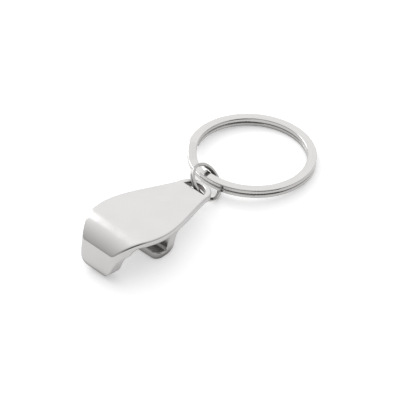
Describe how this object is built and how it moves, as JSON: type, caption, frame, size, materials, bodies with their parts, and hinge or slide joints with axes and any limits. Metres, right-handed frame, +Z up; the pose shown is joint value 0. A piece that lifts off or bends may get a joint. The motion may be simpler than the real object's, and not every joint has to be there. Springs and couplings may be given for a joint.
{
  "type": "keychain bottle opener",
  "caption": "Small cast bottle opener with a lifting lip and a hook under its plate, linked through an eye to a flat split key ring.",
  "frame": {"origin": "on the floor, under the middle of the whole object's box", "axes": "+X along the opener from its lip to the key ring, +Z up from the floor it rests on"},
  "size_m": [0.0668, 0.03, 0.0094],
  "materials": {
    "opener_body": "satin nickel plate over a zinc casting",
    "link_ring": "nickel-plated steel wire",
    "key_ring": "nickel-plated flat steel wire"
  },
  "bodies": {
    "opener": {"opener_body": "opener_body"},
    "link": {"link_ring": "link_ring"},
    "key_ring": {"key_ring": "key_ring"}
  },
  "joints": [
    {"name": "link_swing", "type": "hinge", "parent": "opener", "child": "link", "pos_m": [0.00052, -0.00146, 0.00433], "axis": [0, 1, 0], "range_deg": [-20, 60]},
    {"name": "key_ring_swing", "type": "hinge", "parent": "link", "child": "key_ring", "pos_m": [0.0045, 0, 0.00292], "axis": [0, 1, 0], "range_deg": [-120, 120]}
  ]
}
